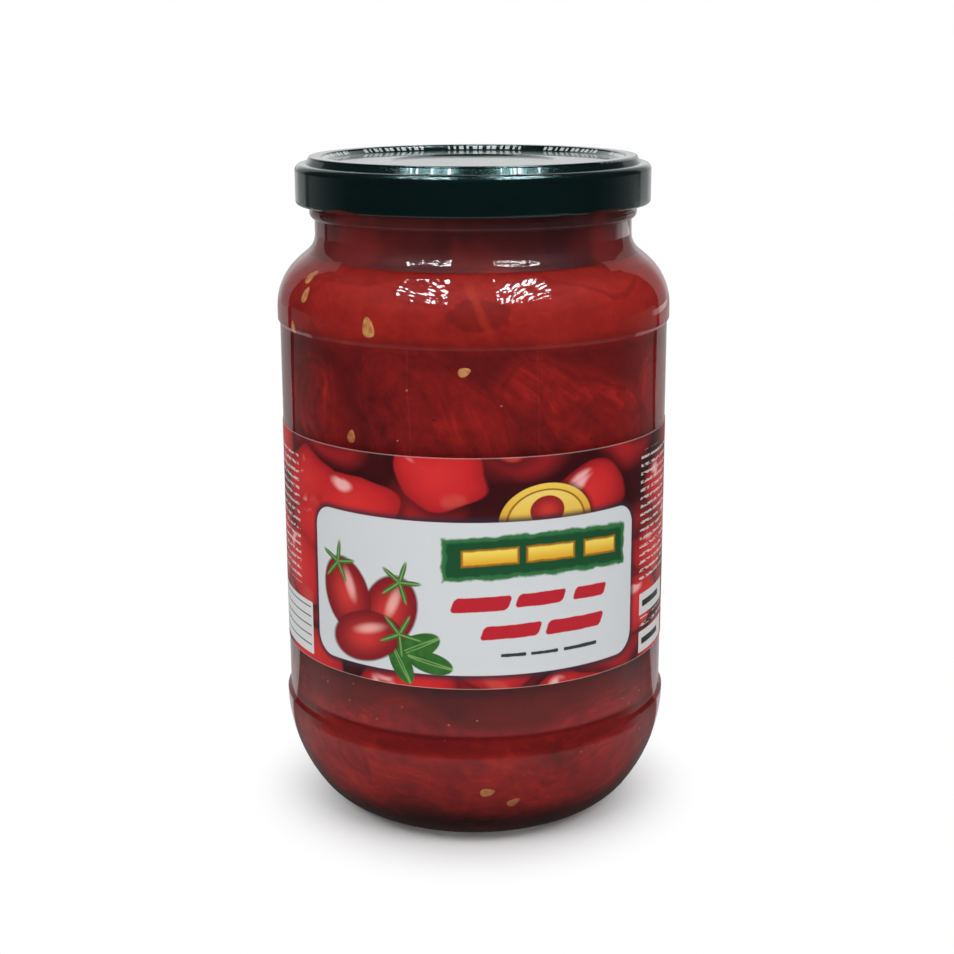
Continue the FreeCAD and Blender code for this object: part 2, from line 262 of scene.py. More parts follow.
def juice_film():
    """Thin red juice left on the glass over the level, streaky where it has run down, with painted light
    towards the sides and painted shade towards the lid.
    """
    film = Finish("juice_film")
    spot, (x, y, z) = film.place()
    # painted light: the film lighter and redder towards the sides
    side = film.step(abs(film.math("ARCTAN2", x, 0.0 - y)), 0.55, 0.95)
    runs = film.noise(film.stretch(spot, 1.0, 1.0, 0.35), 0.07, 2.0, 0.5, 0.5)
    patch = film.noise(spot, 0.07, 2.0)
    # the film is darker towards the top: painted shade under the lid
    redness = runs + 0.6 * (patch - 0.5) - film.step(z, 140.0, 150.0) * 0.08 + side * 0.26
    colour = film.ramp(redness, [(0.28, (0.040, 0.004, 0.005)), (0.5, (0.075, 0.006, 0.007)),
                                 (0.75, (0.15, 0.011, 0.011))])
    return film.surface(film.principled(Base_Color=colour, Roughness=0.35, Specular_IOR_Level=0.15,
                                        Normal=film.bump(runs, 0.0001)))


def seed_skin():
    """Straw-yellow seed, mottled, with darker patches."""
    seed = Finish("seed_skin")
    spot, _ = seed.place()
    shade = seed.noise(spot, 0.8, 2.0)
    colour = seed.ramp(shade, [(0.3, (0.34, 0.10, 0.03)), (0.55, (0.49, 0.20, 0.065)),
                               (0.75, (0.58, 0.30, 0.13))])
    sunk = seed.step(seed.noise(spot, 0.05, 0.0), 0.46, 0.62) * 0.55
    colour = seed.mix(sunk, colour, (0.22, 0.035, 0.016))
    return seed.surface(seed.principled(Base_Color=colour, Roughness=0.55, Specular_IOR_Level=0.2,
                                        Normal=seed.bump(shade, 0.0001)))


def pulp_crumb():
    """Tiny crumbs of pulp, some pale and some dark."""
    crumb = Finish("pulp_crumb")
    spot, _ = crumb.place()
    pale = crumb.step(crumb.noise(spot, 0.13, 1.0), 0.46, 0.54)
    colour = crumb.mix(pale, (0.05, 0.004, 0.004), (0.40, 0.12, 0.09))
    return crumb.surface(crumb.principled(Base_Color=colour, Roughness=0.6, Specular_IOR_Level=0.1))


def lid_lacquer():
    """Bottle-green lacquer baked on tinplate, with fine rubs, and a ring of plain dashes on top."""
    lid = Finish("lid_lacquer")
    spot, (x, y, z) = lid.place()
    haze = lid.noise(spot, 0.06, 3.0, 0.6)
    specks = lid.noise(spot, 2.4, 2.0, 0.7)
    green = lid.mix(haze, (0.0012, 0.0050, 0.0050), (0.0024, 0.0095, 0.0088))
    radius = (x * x + y * y) ** 0.5
    turn = lid.math("ARCTAN2", x, y)
    row = lid.step(abs(z - LID_WORDS), 0.42, 0.34) * lid.step(radius, 37.2, 37.0)
    strokes = lid.math("SINE", turn * 131.0) + 0.7 * lid.math("SINE", turn * 57.0)
    groups = lid.math("SINE", turn * 9.0 + 0.8)
    marks = row * lid.step(strokes, -0.3, 0.1) * lid.step(groups, -0.75, -0.7)
    colour = lid.mix(marks, green, (0.46, 0.50, 0.50))
    rough = lid.step(specks, 0.3, 0.75, 0.15, 0.24)
    return lid.surface(lid.principled(
        Base_Color=colour, Roughness=rough, Specular_IOR_Level=0.7, Coat_Weight=0.6,
        Specular_Tint=(0.5, 0.95, 1.0, 1.0),
        Coat_Roughness=0.03, Normal=lid.bump(haze, 0.00012)))


def sealing_compound():
    """Pale grey plastisol ring with a dull surface."""
    ring = Finish("sealing_compound")
    spot, _ = ring.place()
    shade = ring.noise(spot, 0.5, 2.0)
    return ring.surface(ring.principled(
        Base_Color=ring.mix(shade, (0.32, 0.33, 0.31), (0.42, 0.43, 0.40)), Roughness=0.6,
        Normal=ring.bump(shade, 0.0001)))


# inks of the label
SHADOW_INK = (0.03, 0.004, 0.006)
PANEL_INK = (0.60, 0.62, 0.635)
RIBBON_EDGE_INK = (0.03, 0.16, 0.05)
RIBBON_INK = (0.008, 0.075, 0.025)
STROKE_INK = (0.47, 0.010, 0.022)

# what is printed on the panel, in millimetres from the label's front and from the table top
RIBBON_MIDDLE = 16.0
FIFTH_OF_A_TURN = 1.256
# middle and half width
GOLD_BARS = ((3.6, 6.2), (18.0, 5.6), (31.4, 4.4))
DARK_DASHES = ((9.0, 3.0), (16.5, 3.4), (26.0, 4.6))
# middle, height, half width, weight, lean
BRUSH_STROKES = ((1.5, 64.6, 6.6, 1.75, 0.05), (15.6, 65.3, 5.8, 1.6, 0.02), (28.6, 65.2, 4.6, 1.5, -0.03),
                 (8.5, 57.9, 6.8, 1.65, 0.04), (24.6, 58.0, 7.6, 1.7, -0.01))
# middle, height, half length, half width, lean
LEAVES = ((-14.0, 53.5, 6.5, 3.0, 0.45), (-10.5, 50.2, 5.6, 2.6, -0.25), (-17.5, 49.4, 5.2, 2.5, -1.1))
PLUM_TOMATOES = ((-20.5, 61.5, 9.2, 6.6, 1.15), (-32.5, 64.0, 9.0, 6.8, 1.9), (-27.0, 54.6, 9.6, 5.9, 0.25))
# middle and height
CALYXES = ((-17.6, 69.0), (-35.0, 71.4), (-17.8, 56.4))
# middle, height, half width, half height
BAR_BLOCKS = ((56.5, 79.0, 10.0, 16.5), (-60.0, 78.0, 9.0, 16.0), (56.5, 52.2, 9.0, 1.6),
              (118.0, 72.0, 18.0, 20.0))
PALE_BOX_HEIGHTS = (57.2, 47.6)


def printed_label():
    """Satin paper round the jar: a heap of tomatoes, with a pale panel in front."""
    paper = Finish("printed_label")
    ink = paper.mix
    spot, (x, y, z) = paper.place()
    turn = paper.math("ARCTAN2", x, 0.0 - y)
    across = turn * LABEL_OUT
    flat = paper.vector(across, z, 0.0)

    def box(middle, height, half_width, half_height, corner=0.0):
        over_x = abs(across - middle) - (half_width - corner)
        over_z = abs(z - height) - (half_height - corner)
        out = ((over_x | 0.0) ** 2 + (over_z | 0.0) ** 2) ** 0.5
        return out + ((over_x | over_z) & 0.0) - corner

    def oval(middle, height, half_width, half_height, lean=0.0):
        c, s = math.cos(lean), math.sin(lean)
        dx = across - middle
        dz = z - height
        along = (dx * c + dz * s) / half_width
        beside = (dz * c - dx * s) / half_height
        return ((along * along + beside * beside) ** 0.5 - 1.0) * min(half_width, half_height)

    def fill(distance, soft=0.12):
        return paper.step(distance, soft, -soft)

    # heap of plump tomatoes over the whole sheet
    drift = paper.node("ShaderNodeTexNoise", None, {"Vector": flat, "Scale": 0.05, "Detail": 1.0})
    drift = paper.node("ShaderNodeVectorMath", {"operation": "MULTIPLY_ADD"},
                       {0: drift.outputs["Color"], 1: (16.0, 12.0, 0.0), 2: flat}).outputs[0]

    def heap(dx, dz):
        moved = paper.node("ShaderNodeVectorMath", {"operation": "ADD"}, {0: drift, 1: (dx, dz, 0.0)})
        cells = paper.node("ShaderNodeTexVoronoi", {"voronoi_dimensions": "2D"},
                           {"Vector": paper.stretch(moved.outputs[0], 0.72, 1.15, 1.0), "Scale": 0.058,
                            "Randomness": 0.9}).outputs
        return Value(paper, cells["Distance"]), cells["Color"]

    away, kind = heap(0.0, 0.0)
    ripe = paper.node("ShaderNodeSeparateColor", None, {0: kind}).outputs
    shade = away + 0.10 * (Value(paper, ripe[0]) - 0.5)
    rear, _ = heap(8.0, 7.0)
    art = paper.ramp(rear, [(0.05, (0.42, 0.010, 0.014)), (0.38, (0.26, 0.006, 0.009)),
                            (0.60, (0.05, 0.002, 0.004))])
    art = ink(paper.step(away, 0.74, 0.50) * 0.65, art, (0.03, 0.002, 0.004))
    near = paper.step(away, 0.525, 0.49)
    front = paper.ramp(shade, [(0.02, (0.62, 0.020, 0.020)), (0.32, (0.52, 0.011, 0.014)),
                               (0.45, (0.37, 0.007, 0.010)), (0.52, (0.20, 0.004, 0.007))])
    art = ink(near, art, front)
    glint, _ = heap(3.4, -4.0)
    streak = paper.noise(paper.stretch(drift, 0.5, 1.0, 1.0), 0.16, 2.0)
    shine = paper.step(glint, 0.17, 0.07) * paper.step(streak, 0.44, 0.54) * near * 0.8
    art = ink(shine, art, (0.86, 0.46, 0.44))
    rim_light, _ = heap(-3.0, 5.5)
    glow = paper.step(rim_light, 0.16, 0.06) * paper.step(away, 0.2, 0.4) * near
    art = ink(glow * 0.4, art, (0.62, 0.10, 0.07))

    # gold medallion behind the panel's upper edge
    medal_x, medal_z = 17.0, 83.5
    medal = oval(medal_x, medal_z, 11.5, 9.0)
    shine_over = paper.step(z, medal_z - 2.0, medal_z + 9.0)
    art = ink(paper.step(medal, 1.4, 0.0) * 0.7, art, SHADOW_INK)
    art = ink(fill(medal), art, ink(shine_over, (0.62, 0.30, 0.02), (0.78, 0.52, 0.07)))
    art = ink(fill(medal + 1.3), art, (0.30, 0.12, 0.005))
    art = ink(fill(medal + 1.7), art, ink(shine_over, (0.72, 0.42, 0.04), (0.80, 0.60, 0.14)))
    fruit = oval(medal_x, medal_z + 2.6, 4.2, 3.5)
    fruit_ink = ink(paper.step(fruit, -3.5, 0.0), (0.55, 0.03, 0.02), (0.28, 0.01, 0.01))
    art = ink(fill(fruit), art, fruit_ink)

    # pale panel with a soft dark edge
    panel = box(0.0, 65.7, 42.6, 18.3, 5.2)
    art = ink(paper.step(panel, 1.9, 0.2) * 0.85, art, (0.035, 0.02, 0.035))
    art = ink(fill(panel), art, PANEL_INK)

    # green ribbon with torn ends, and gold bars on it
    rag = paper.noise(flat, 0.35, 2.0) - 0.5
    bow = (across - RIBBON_MIDDLE) * (across - RIBBON_MIDDLE) * 0.0022
    ribbon = (abs(across - RIBBON_MIDDLE) - 23.0) | (abs(z - 76.0 + bow) - 4.6)
    art = ink(fill(ribbon + rag * 1.6 - 0.5, 0.35), art, RIBBON_EDGE_INK)
    art = ink(fill(ribbon + rag * 1.6 + 0.5, 0.35), art, RIBBON_INK)
    gold = ink(paper.step(z + bow, 74.6, 77.8), (0.72, 0.38, 0.02), (0.82, 0.62, 0.10))
    for middle, half in GOLD_BARS:
        bar = (abs(across - middle) - half) | (abs(z - 76.2 + bow + rag * 0.5) - 1.55)
        art = ink(fill(bar - 0.5, 0.2), art, (0.35, 0.14, 0.005))
        art = ink(fill(bar, 0.2), art, gold)

    # red brush strokes, and dark dashes under them
    for middle, height, half, weight, lean in BRUSH_STROKES:
        slant = (z - height) * 0.35
        over_x = abs(across - middle - slant) - (half - weight * 0.6)
        over_z = abs(z - height - (across - middle) * lean) - weight * 0.4
        stroke = ((over_x | 0.0) ** 2 + (over_z | 0.0) ** 2) ** 0.5 - weight * 0.6 + rag * 0.35
        art = ink(fill(stroke, 0.15), art, STROKE_INK)
    for middle, half in DARK_DASHES:
        art = ink(fill(box(middle, 52.2, half, 0.42, 0.3) + rag * 0.4), art, (0.03, 0.04, 0.045))

    # plum tomatoes with calyx and leaves at the panel's lower left
    def leaf(middle, height, long, wide, lean):
        blade = oval(middle, height, long, wide, lean)
        green = ink(paper.noise(flat, 0.5, 1.0), (0.012, 0.075, 0.012), (0.05, 0.20, 0.03))
        vein = fill(abs(oval(middle, height, long * 0.95, wide * 0.12, lean)) - 0.12)
        return ink(fill(blade), art, ink(vein, green, (0.18, 0.34, 0.10)))

    for middle, height, long, wide, lean in LEAVES:
        art = leaf(middle, height, long, wide, lean)
    for middle, height, long, wide, lean in PLUM_TOMATOES:
        ball = oval(middle, height, long, wide, lean)
        body = ink(paper.step(ball, -wide, 0.0), (0.60, 0.03, 0.025), (0.22, 0.006, 0.012))
        lit = oval(middle + 1.2, height + wide * 0.36, long * 0.42, wide * 0.2, lean)
        body = ink(paper.step(lit, 0.6, -0.9) * 0.75, body, (0.85, 0.45, 0.40))
        art = ink(fill(ball - 0.3) * 0.6, art, (0.05, 0.01, 0.01))
        art = ink(fill(ball), art, body)
    for hub_x, hub_z in CALYXES:
        for spread in range(5):
            lean = spread * FIFTH_OF_A_TURN + hub_x
            art = leaf(hub_x + 2.4 * math.cos(lean), hub_z + 2.4 * math.sin(lean), 2.9, 0.62, lean)

    # ruled table on the left, rows of short plain bars at both sides, two pale boxes on the right
    table = box(-58.5, 52.0, 13.0, 6.6, 0.5)
    art = ink(fill(table), art, (0.66, 0.67, 0.67))
    rules = paper.math("PINGPONG", z + 0.4, 1.2)
    art = ink(fill(table + 0.9) * paper.step(rules, 0.24, 0.12) * 0.85, art, (0.03, 0.03, 0.04))
    rows = paper.math("PINGPONG", z + 0.2, 1.0)
    breaks = paper.step(paper.noise(paper.stretch(flat, 1.0, 3.0, 1.0), 0.55, 1.0), 0.44, 0.48)
    for middle, height, half_width, half_height in BAR_BLOCKS:
        block = fill(box(middle, height, half_width, half_height))
        art = ink(block * paper.step(rows, 0.40, 0.30) * breaks * 0.8, art, (0.64, 0.58, 0.56))
    for height in PALE_BOX_HEIGHTS:
        art = ink(fill(box(55.5, height, 8.6, 2.7, 0.3)), art, (0.62, 0.62, 0.62))
        art = ink(fill(box(54.0, height, 5.6, 0.8, 0.2)), art, (0.02, 0.02, 0.02))

    # paper's own unprinted edge and its fibres
    fibres = paper.noise(spot, 1.6, 3.0, 0.6)
    rim = paper.step(abs(z - LABEL_MIDDLE), 27.2, 27.4)
    art = ink(rim * 0.35, art, (0.55, 0.50, 0.48))
    art = ink(0.12, art, ink(fibres, (0.55, 0.55, 0.55), WHITE), "MULTIPLY")
    relief = paper.bump(fibres * 0.1 + paper.noise(flat, 0.05, 1.0), 0.0001)
    return paper.surface(paper.principled(
        Base_Color=art, Roughness=paper.step(fibres, 0.2, 0.8, 0.34, 0.46),
        Specular_IOR_Level=0.25, Normal=relief))


# ---------------------------------------------------------------- tomatoes in juice

PROUD = 0.25              # how far the contents reach into the wall
CELL = 0.8                # size of one face of the contents
TURNS = 340               # faces round the contents and round the film
UP = np.array([0.0, 0.0, 1.0])
ROUND = 6.28              # a turn in radians, near enough for drawing a phase
WOBBLE = 2.2              # how far the tomatoes stray from plain ovals
OPEN_JUICE = 30.0         # depth where no tomato lies behind the glass
MISSED = 99.0             # depth given to a tomato that isn't there
FILM_ROWS = 30            # rows of points up each side of the film
FILM_DIP = 0.6            # how far the film starts under the level
FILM_GAP = 3.4            # how far it ends under the top of the jar
FILM_PROUD = 0.2          # how far it reaches into the wall
SEEDS = 40
FLECKS = 130
DROP_AROUND = 18          # points round a seed or a fleck
DROP_ACROSS = 5           # rings from its edge to its middle
# azimuth, height, length and spin of the seeds that face the front
FRONT_SEEDS = [(-30.5, 127.3, 4.6, 100), (-2.6, 118.2, 3.2, 20), (-37.5, 101.7, 3.4, 80),
               (-60, 135.5, 4.0, 60), (-58, 132.0, 3.6, 80), (3.8, 17.2, 3.8, 10),
               (12.4, 13.8, 3.6, 40), (-64, 124.5, 3.0, 90)]

# azimuth from the front, height, distance from the axis, long half, short half, lean, slew
UPPER = [(-54, 103, 31, 27, 15.5, 12, 0), (-11, 103, 33, 27, 16.5, 26, 4), (31, 107, 32, 28, 16.0, 52, -4),
         (72, 101, 32, 27, 15.5, 4, 0), (115, 104, 32, 27, 16.0, 14, 3), (158, 101, 33, 27, 16.0, -18, 0),
         (203, 103, 32, 27, 15.5, 10, -3), (251, 102, 32, 27, 16.0, -14, 0)]
CROWN = [(-34, 130, 30, 22, 13.5, 76, 4), (37, 131, 30, 25, 13.5, 99, -4), (92, 130, 30, 21, 13.0, 70, 4),
         (146, 131, 30, 24, 13.5, 96, 0), (206, 130, 30, 24, 13.0, 82, -4), (268, 131, 30, 23, 13.5, 104, 4)]
WAIST = [(-36, 70, 32, 28, 16.0, -12, 0), (8, 72, 32, 28, 16.0, 10, 0), (52, 69, 32, 28, 16.0, 18, 0),
         (97, 72, 32, 28, 16.0, -8, 0), (142, 70, 32, 28, 16.0, 14, 0), (187, 72, 32, 28, 16.0, 6, 0),
         (231, 69, 32, 28, 16.0, -16, 0), (277, 71, 32, 28, 16.0, 12, 0)]
FOOT = [(-62, 27, 31, 28, 16.5, 62, 4), (-8, 25, 32, 29, 17.0, 74, 0), (46, 28, 31, 27, 16.5, 100, -4),
        (98, 26, 32, 28, 16.5, 70, 0), (150, 27, 31, 28, 16.5, 108, 3), (202, 25, 32, 28, 17.0, 66, 0),
        (252, 28, 31, 27, 16.5, 96, -3)]
TOMATOES = UPPER + CROWN + WAIST + FOOT


def add_piece(name, points, faces):
    """A smooth piece made of points in millimetres, linked to the scene."""
    mesh = bpy.data.meshes.new(name)
    mesh.from_pydata((np.array(points) * MM).tolist(), [], faces)
    mesh.shade_smooth()
    piece = bpy.data.objects.new(name, mesh)
    bpy.context.scene.collection.objects.link(piece)
    return piece


def band(first, second, count):
    """Faces between two closed rows of points."""
    return [(first + k, first + (k + 1) % count, second + (k + 1) % count, second + k)
            for k in range(count)]


def bearings(azimuth):
    """The directions outward and aside at an azimuth counted from the front."""
    a = math.radians(azimuth)
    return np.array([math.sin(a), -math.cos(a), 0.0]), np.array([math.cos(a), math.sin(a), 0.0])


def vertex_rows(mesh, field):
    """The positions or normals of a mesh, one row a vertex."""
    values = np.empty(len(mesh.vertices) * 3)
    mesh.vertices.foreach_get(field, values)
    return values.reshape(-1, 3)


def contents_profile():
    """Radius and height down the contents, from the middle of the top to the middle of the floor."""
    spots = vertex_rows(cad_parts["contents"].data, "co") / MM
    radius = np.hypot(spots[:, 0], spots[:, 1])
    height = spots[:, 2]
    middle = (height.min() + height.max()) / 2
    order = np.argsort(-np.arctan2(height - middle, radius), kind="stable")
    radius, height = radius[order], height[order]
    apex = height[(radius < 1.0) & (height < middle)].max()
    radius = np.concatenate(([0.0], radius, [0.0]))
    height = np.concatenate(([height.max()], height, [apex]))
    keep = [0]
    for i in range(1, len(radius)):
        if math.hypot(radius[i] - radius[keep[-1]], height[i] - height[keep[-1]]) > 0.15:
            keep.append(i)
    radius, height = radius[keep], height[keep]
    run = np.concatenate(([0.0], np.cumsum(np.hypot(np.diff(radius), np.diff(height)))))
    even = np.linspace(0.0, run[-1], int(run[-1] / CELL) + 1)
    return np.interp(even, run, radius), np.interp(even, run, height)


def tomato_frames():
    """Each tomato's centre and its three directions scaled to its half sizes."""
    frames = []
    for azimuth, height, out, long, short, lean, slew in TOMATOES:
        outward, aside = bearings(azimuth)
        t = math.radians(lean)
        length = UP * math.cos(t) - aside * math.sin(t)
        side = aside * math.cos(t) + UP * math.sin(t)
        s = math.radians(slew)
        slewed_length = length * math.cos(s) + outward * math.sin(s)
        slewed_out = outward * math.cos(s) - length * math.sin(s)
        frames.append((outward * out + UP * height,
                       np.array([side / short, slewed_out / short, slewed_length / long])))
    return frames


def lumps(points, size, seed):
    """Smooth three-dimensional unevenness between -1 and 1."""
    draw = np.random.default_rng(seed)
    total = np.zeros(len(points))
    for _ in range(7):
        way = draw.normal(size=3)
        way /= np.linalg.norm(way) * size * draw.uniform(0.6, 1.5)
        total += np.sin(points @ way * 2 * math.pi + draw.uniform(0, ROUND))
    return total / 3.5


def contents_mesh():
    """The tomatoes and juice as one skin, with the values its finish reads, and its profile."""
    radius, height = contents_profile()
    rings = len(radius)
    slope_r = np.gradient(radius)
    slope_h = np.gradient(height)
    size = np.hypot(slope_r, slope_h) + 1e-9
    normal_r, normal_h = -slope_h / size, slope_r / size
    normal_r[0] = normal_r[-1] = 0.0
    level = height.max()
    on_top = (height > level - 0.05).astype(float)
    out_r = radius + PROUD * normal_r * (1 - on_top)
    out_h = height + PROUD * normal_h * (1 - on_top)

    turn = np.arange(TURNS) * 2 * math.pi / TURNS
    sin, cos = np.sin(turn), -np.cos(turn)
    inner = slice(1, rings - 1)

    def turned(across, up):
        return np.stack([np.outer(across[inner], sin), np.outer(across[inner], cos),
                         np.outer(up[inner], np.ones(TURNS))], -1).reshape(-1, 3)

    points = turned(out_r, out_h)
    normals = turned(normal_r, normal_h)
    tops = np.repeat(on_top[inner], TURNS)
    points = np.vstack([points, [[0, 0, out_h[0]], [0, 0, out_h[-1]]]])
    normals = np.vstack([normals, [[0, 0, 1], [0, 0, -1]]])
    tops = np.concatenate([tops, [1.0, 0.0]])

    # how deep the juice is in front of the nearest tomato
    wobble = points + WOBBLE * np.stack([lumps(points, 24, seed) for seed in (3, 4, 5)], -1)
    depth = np.full(len(points), OPEN_JUICE)
    tone = np.full(len(points), 0.4)
    grain = points.copy()
    rise = np.zeros(len(points))
    draw = np.random.default_rng(4310)
    for centre, axes in tomato_frames():
        shade = draw.uniform(0.32, 0.49)
        local = (wobble - centre) @ axes.T
        way = -normals @ axes.T
        a = (way * way).sum(1)
        b = (local * way).sum(1)
        c = (local * local).sum(1) - 1.0
        inside = b * b - a * c
        near = np.where(inside > 0, (-b - np.sqrt(np.abs(inside))) / a, MISSED)
        far = np.where(inside > 0, (-b + np.sqrt(np.abs(inside))) / a, -1.0)
        reach = np.where(far > 0, near, MISSED)
        nearer = reach < depth
        depth = np.where(nearer, reach, depth)
        tone = np.where(nearer, shade, tone)
        grain[nearer] = local[nearer] / np.linalg.norm(axes, axis=1) + draw.uniform(-40, 40, 3)
        rise = np.maximum(rise, np.where(reach < 0, np.minimum(-reach, 5.0), 0.0))
    depth = np.maximum(depth, -6.0)

    # the open surface stands up over the tomatoes that break it, and is gently uneven, both fading out
    # towards the glass
    edge = np.hypot(points[:, 0], points[:, 1]) / radius[on_top > 0].max()
    points[:, 2] += tops * rise * np.clip((1 - edge) * 9, 0, 1) * 0.8
    points[:, 2] += tops * 0.35 * lumps(points, 16, 8) * np.clip((1 - edge) * 6, 0, 1)

    faces = []
    for ring in range(rings - 3):
        a, b = ring * TURNS, (ring + 1) * TURNS
        for k in range(TURNS):
            n = (k + 1) % TURNS
            faces.append((a + k, b + k, b + n, a + n))
    last = (rings - 3) * TURNS
    top, bottom = len(points) - 2, len(points) - 1
    for k in range(TURNS):
        n = (k + 1) % TURNS
        faces.append((top, k, n))
        faces.append((bottom, last + n, last + k))

    piece = add_piece("tomatoes_in_juice", points, faces)
    attributes = piece.data.attributes
    for name, values in (("depth", depth), ("tone", tone), ("wet", tops)):
        attributes.new(name, "FLOAT", "POINT").data.foreach_set("value", values.astype(np.float32))
    grain = grain.astype(np.float32).ravel()
    attributes.new("grain", "FLOAT_VECTOR", "POINT").data.foreach_set("vector", grain)
    return piece, (out_r, out_h, on_top)


def inner_wall():
    """Heights and radii of the inside of the glass, from the level of the juice upwards."""
    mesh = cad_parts["jar"].data
    spots = vertex_rows(mesh, "co") / MM
    facing = vertex_rows(mesh, "normal")
    radius = np.hypot(spots[:, 0], spots[:, 1])
    inward = (spots[:, :2] * facing[:, :2]).sum(1) / radius.clip(1.0) < -0.3
    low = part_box("contents")[1].z / MM - 1.5
    chosen = inward & (spots[:, 2] > low)
    order = np.argsort(spots[chosen, 2], kind="stable")
    return spots[chosen, 2][order], radius[chosen][order]


def film_mesh():
    """The film of juice on the inside of the neck, from the level to just under the rim."""
    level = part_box("contents")[1].z / MM
    jar_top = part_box("jar")[1].z / MM
    wall_z, wall_r = inner_wall()
    draw = np.random.default_rng(5)
    swell = draw.uniform(0, ROUND, 3)
    points, faces = [], []
    for side in range(2):
        for row in range(FILM_ROWS):
            t = row / (FILM_ROWS - 1)
            if side:
                t = 1 - t
            for k in range(TURNS):
                w = 2 * math.pi * k / TURNS
                top = jar_top - FILM_GAP + 0.8 * math.sin(3 * w + swell[0])
                top = top + 0.5 * math.sin(7 * w + swell[1])
                thick = 0.18 + 0.1 * math.sin(2 * w + 5 * t + swell[2]) * (1 - t)
                z = level - FILM_DIP + (top - level + FILM_DIP) * t
                out = float(np.interp(z, wall_z, wall_r)) + (-thick if side else FILM_PROUD)
                points.append((out * math.sin(w), -out * math.cos(w), z))
    total = 2 * FILM_ROWS
    for row in range(total):
        faces.extend(band(row * TURNS, (row + 1) % total * TURNS, TURNS))
    return add_piece("juice_film", points, faces)


def seeds_placed():
    """Azimuth, height, length and spin of each loose seed."""
    draw = np.random.default_rng(29)
    placed = list(FRONT_SEEDS)
    while len(placed) < SEEDS:
        zone = draw.uniform(101, 134) if draw.random() < 0.6 else draw.uniform(13, 42)
        placed.append((draw.uniform(88, 276), zone, draw.uniform(2.6, 4.2), draw.uniform(0, 180)))
    return placed


def flecks_placed():
    """Azimuth, height, length and spin of each crumb of pulp, thickest over the lower step."""
    draw = np.random.default_rng(31)
    placed = []
    while len(placed) < FLECKS:
        low = draw.random() < 0.45
        zone = draw.normal(35.5, 4.0) if low else draw.uniform(13, 134)
        if 12.5 < zone < 136 and not 45 < zone < 98:
            placed.append((draw.uniform(-180, 180), zone, draw.uniform(0.35, 0.8), draw.uniform(0, 180)))
    return placed


def drops_mesh(name, profile, placed):
    """Small flat drops held against the glass."""
    out_r, out_h, on_top = profile
    wall = [i for i in range(len(out_r)) if not on_top[i] and out_r[i] > 30]
    wall_h = out_h[wall][::-1]
    wall_r = out_r[wall][::-1]
    points, faces = [], []
    for azimuth, height, long, spin in placed:
        r = np.interp(height, wall_h, wall_r)
        slope = (np.interp(height + 1, wall_h, wall_r) - np.interp(height - 1, wall_h, wall_r)) / 2
        outward, aside = bearings(azimuth)
        centre = outward * r + UP * height
        up = UP + outward * slope
        up /= np.linalg.norm(up)
        outward = np.cross(aside, up)
        spin = math.radians(spin)
        first = len(points)
        for ring in range(DROP_ACROSS):
            t = ring / (DROP_ACROSS - 1)
            for k in range(DROP_AROUND):
                w = 2 * math.pi * k / DROP_AROUND
                taper = 1 - 0.34 * math.cos(w)
                px = math.cos(w) * long / 2 * (1 - t)
                py = math.sin(w) * long * 0.34 * (1 - t) * taper
                lift = min(0.32, long * 0.2) * math.sqrt(max(0.0, 1 - (1 - t) ** 2)) - 0.06
                e = px * math.cos(spin) - py * math.sin(spin)
                f = px * math.sin(spin) + py * math.cos(spin)
                back = e * e / (2 * r)
                points.append(centre + aside * e + up * f + outward * (lift - back))
            if ring:
                outer = first + (ring - 1) * DROP_AROUND
                faces.extend(band(outer, outer + DROP_AROUND, DROP_AROUND))
    return add_piece(name, points, faces)


# ---------------------------------------------------------------- studio

FLOOR_HALF = 4.0
BACKDROP_HALF = 1.24
BACKDROP_AT = 1.2
BACKDROP_TOP = 1.5
FOIL_HEIGHT = 1.1
LAMP_AIM = Vector((0.0, 0.0, 0.08))
# name, place, width, depth, power
LAMPS = (("lamp_above", (0.0, 0.15, 1.5), 1.4, 1.4, 6.5),
         ("lamp_left", (-0.72, -0.78, 1.0), 0.9, 0.5, 8.5),
         ("lamp_right", (0.72, -0.78, 1.0), 0.9, 0.5, 8.5))


def sheet_of(name, corners, material):
    """A flat sheet of the studio, which isn't part of the model."""
    mesh = bpy.data.meshes.new(name)
    mesh.from_pydata(corners, [], [tuple(range(len(corners)))])
    piece = bpy.data.objects.new(name, mesh)
    piece.data.materials.append(material)
    bpy.context.scene.collection.objects.link(piece)
    return piece


def glow_of(finish, strength):
    return finish.node("ShaderNodeEmission", None, {"Color": WHITE, "Strength": strength}).outputs[0]


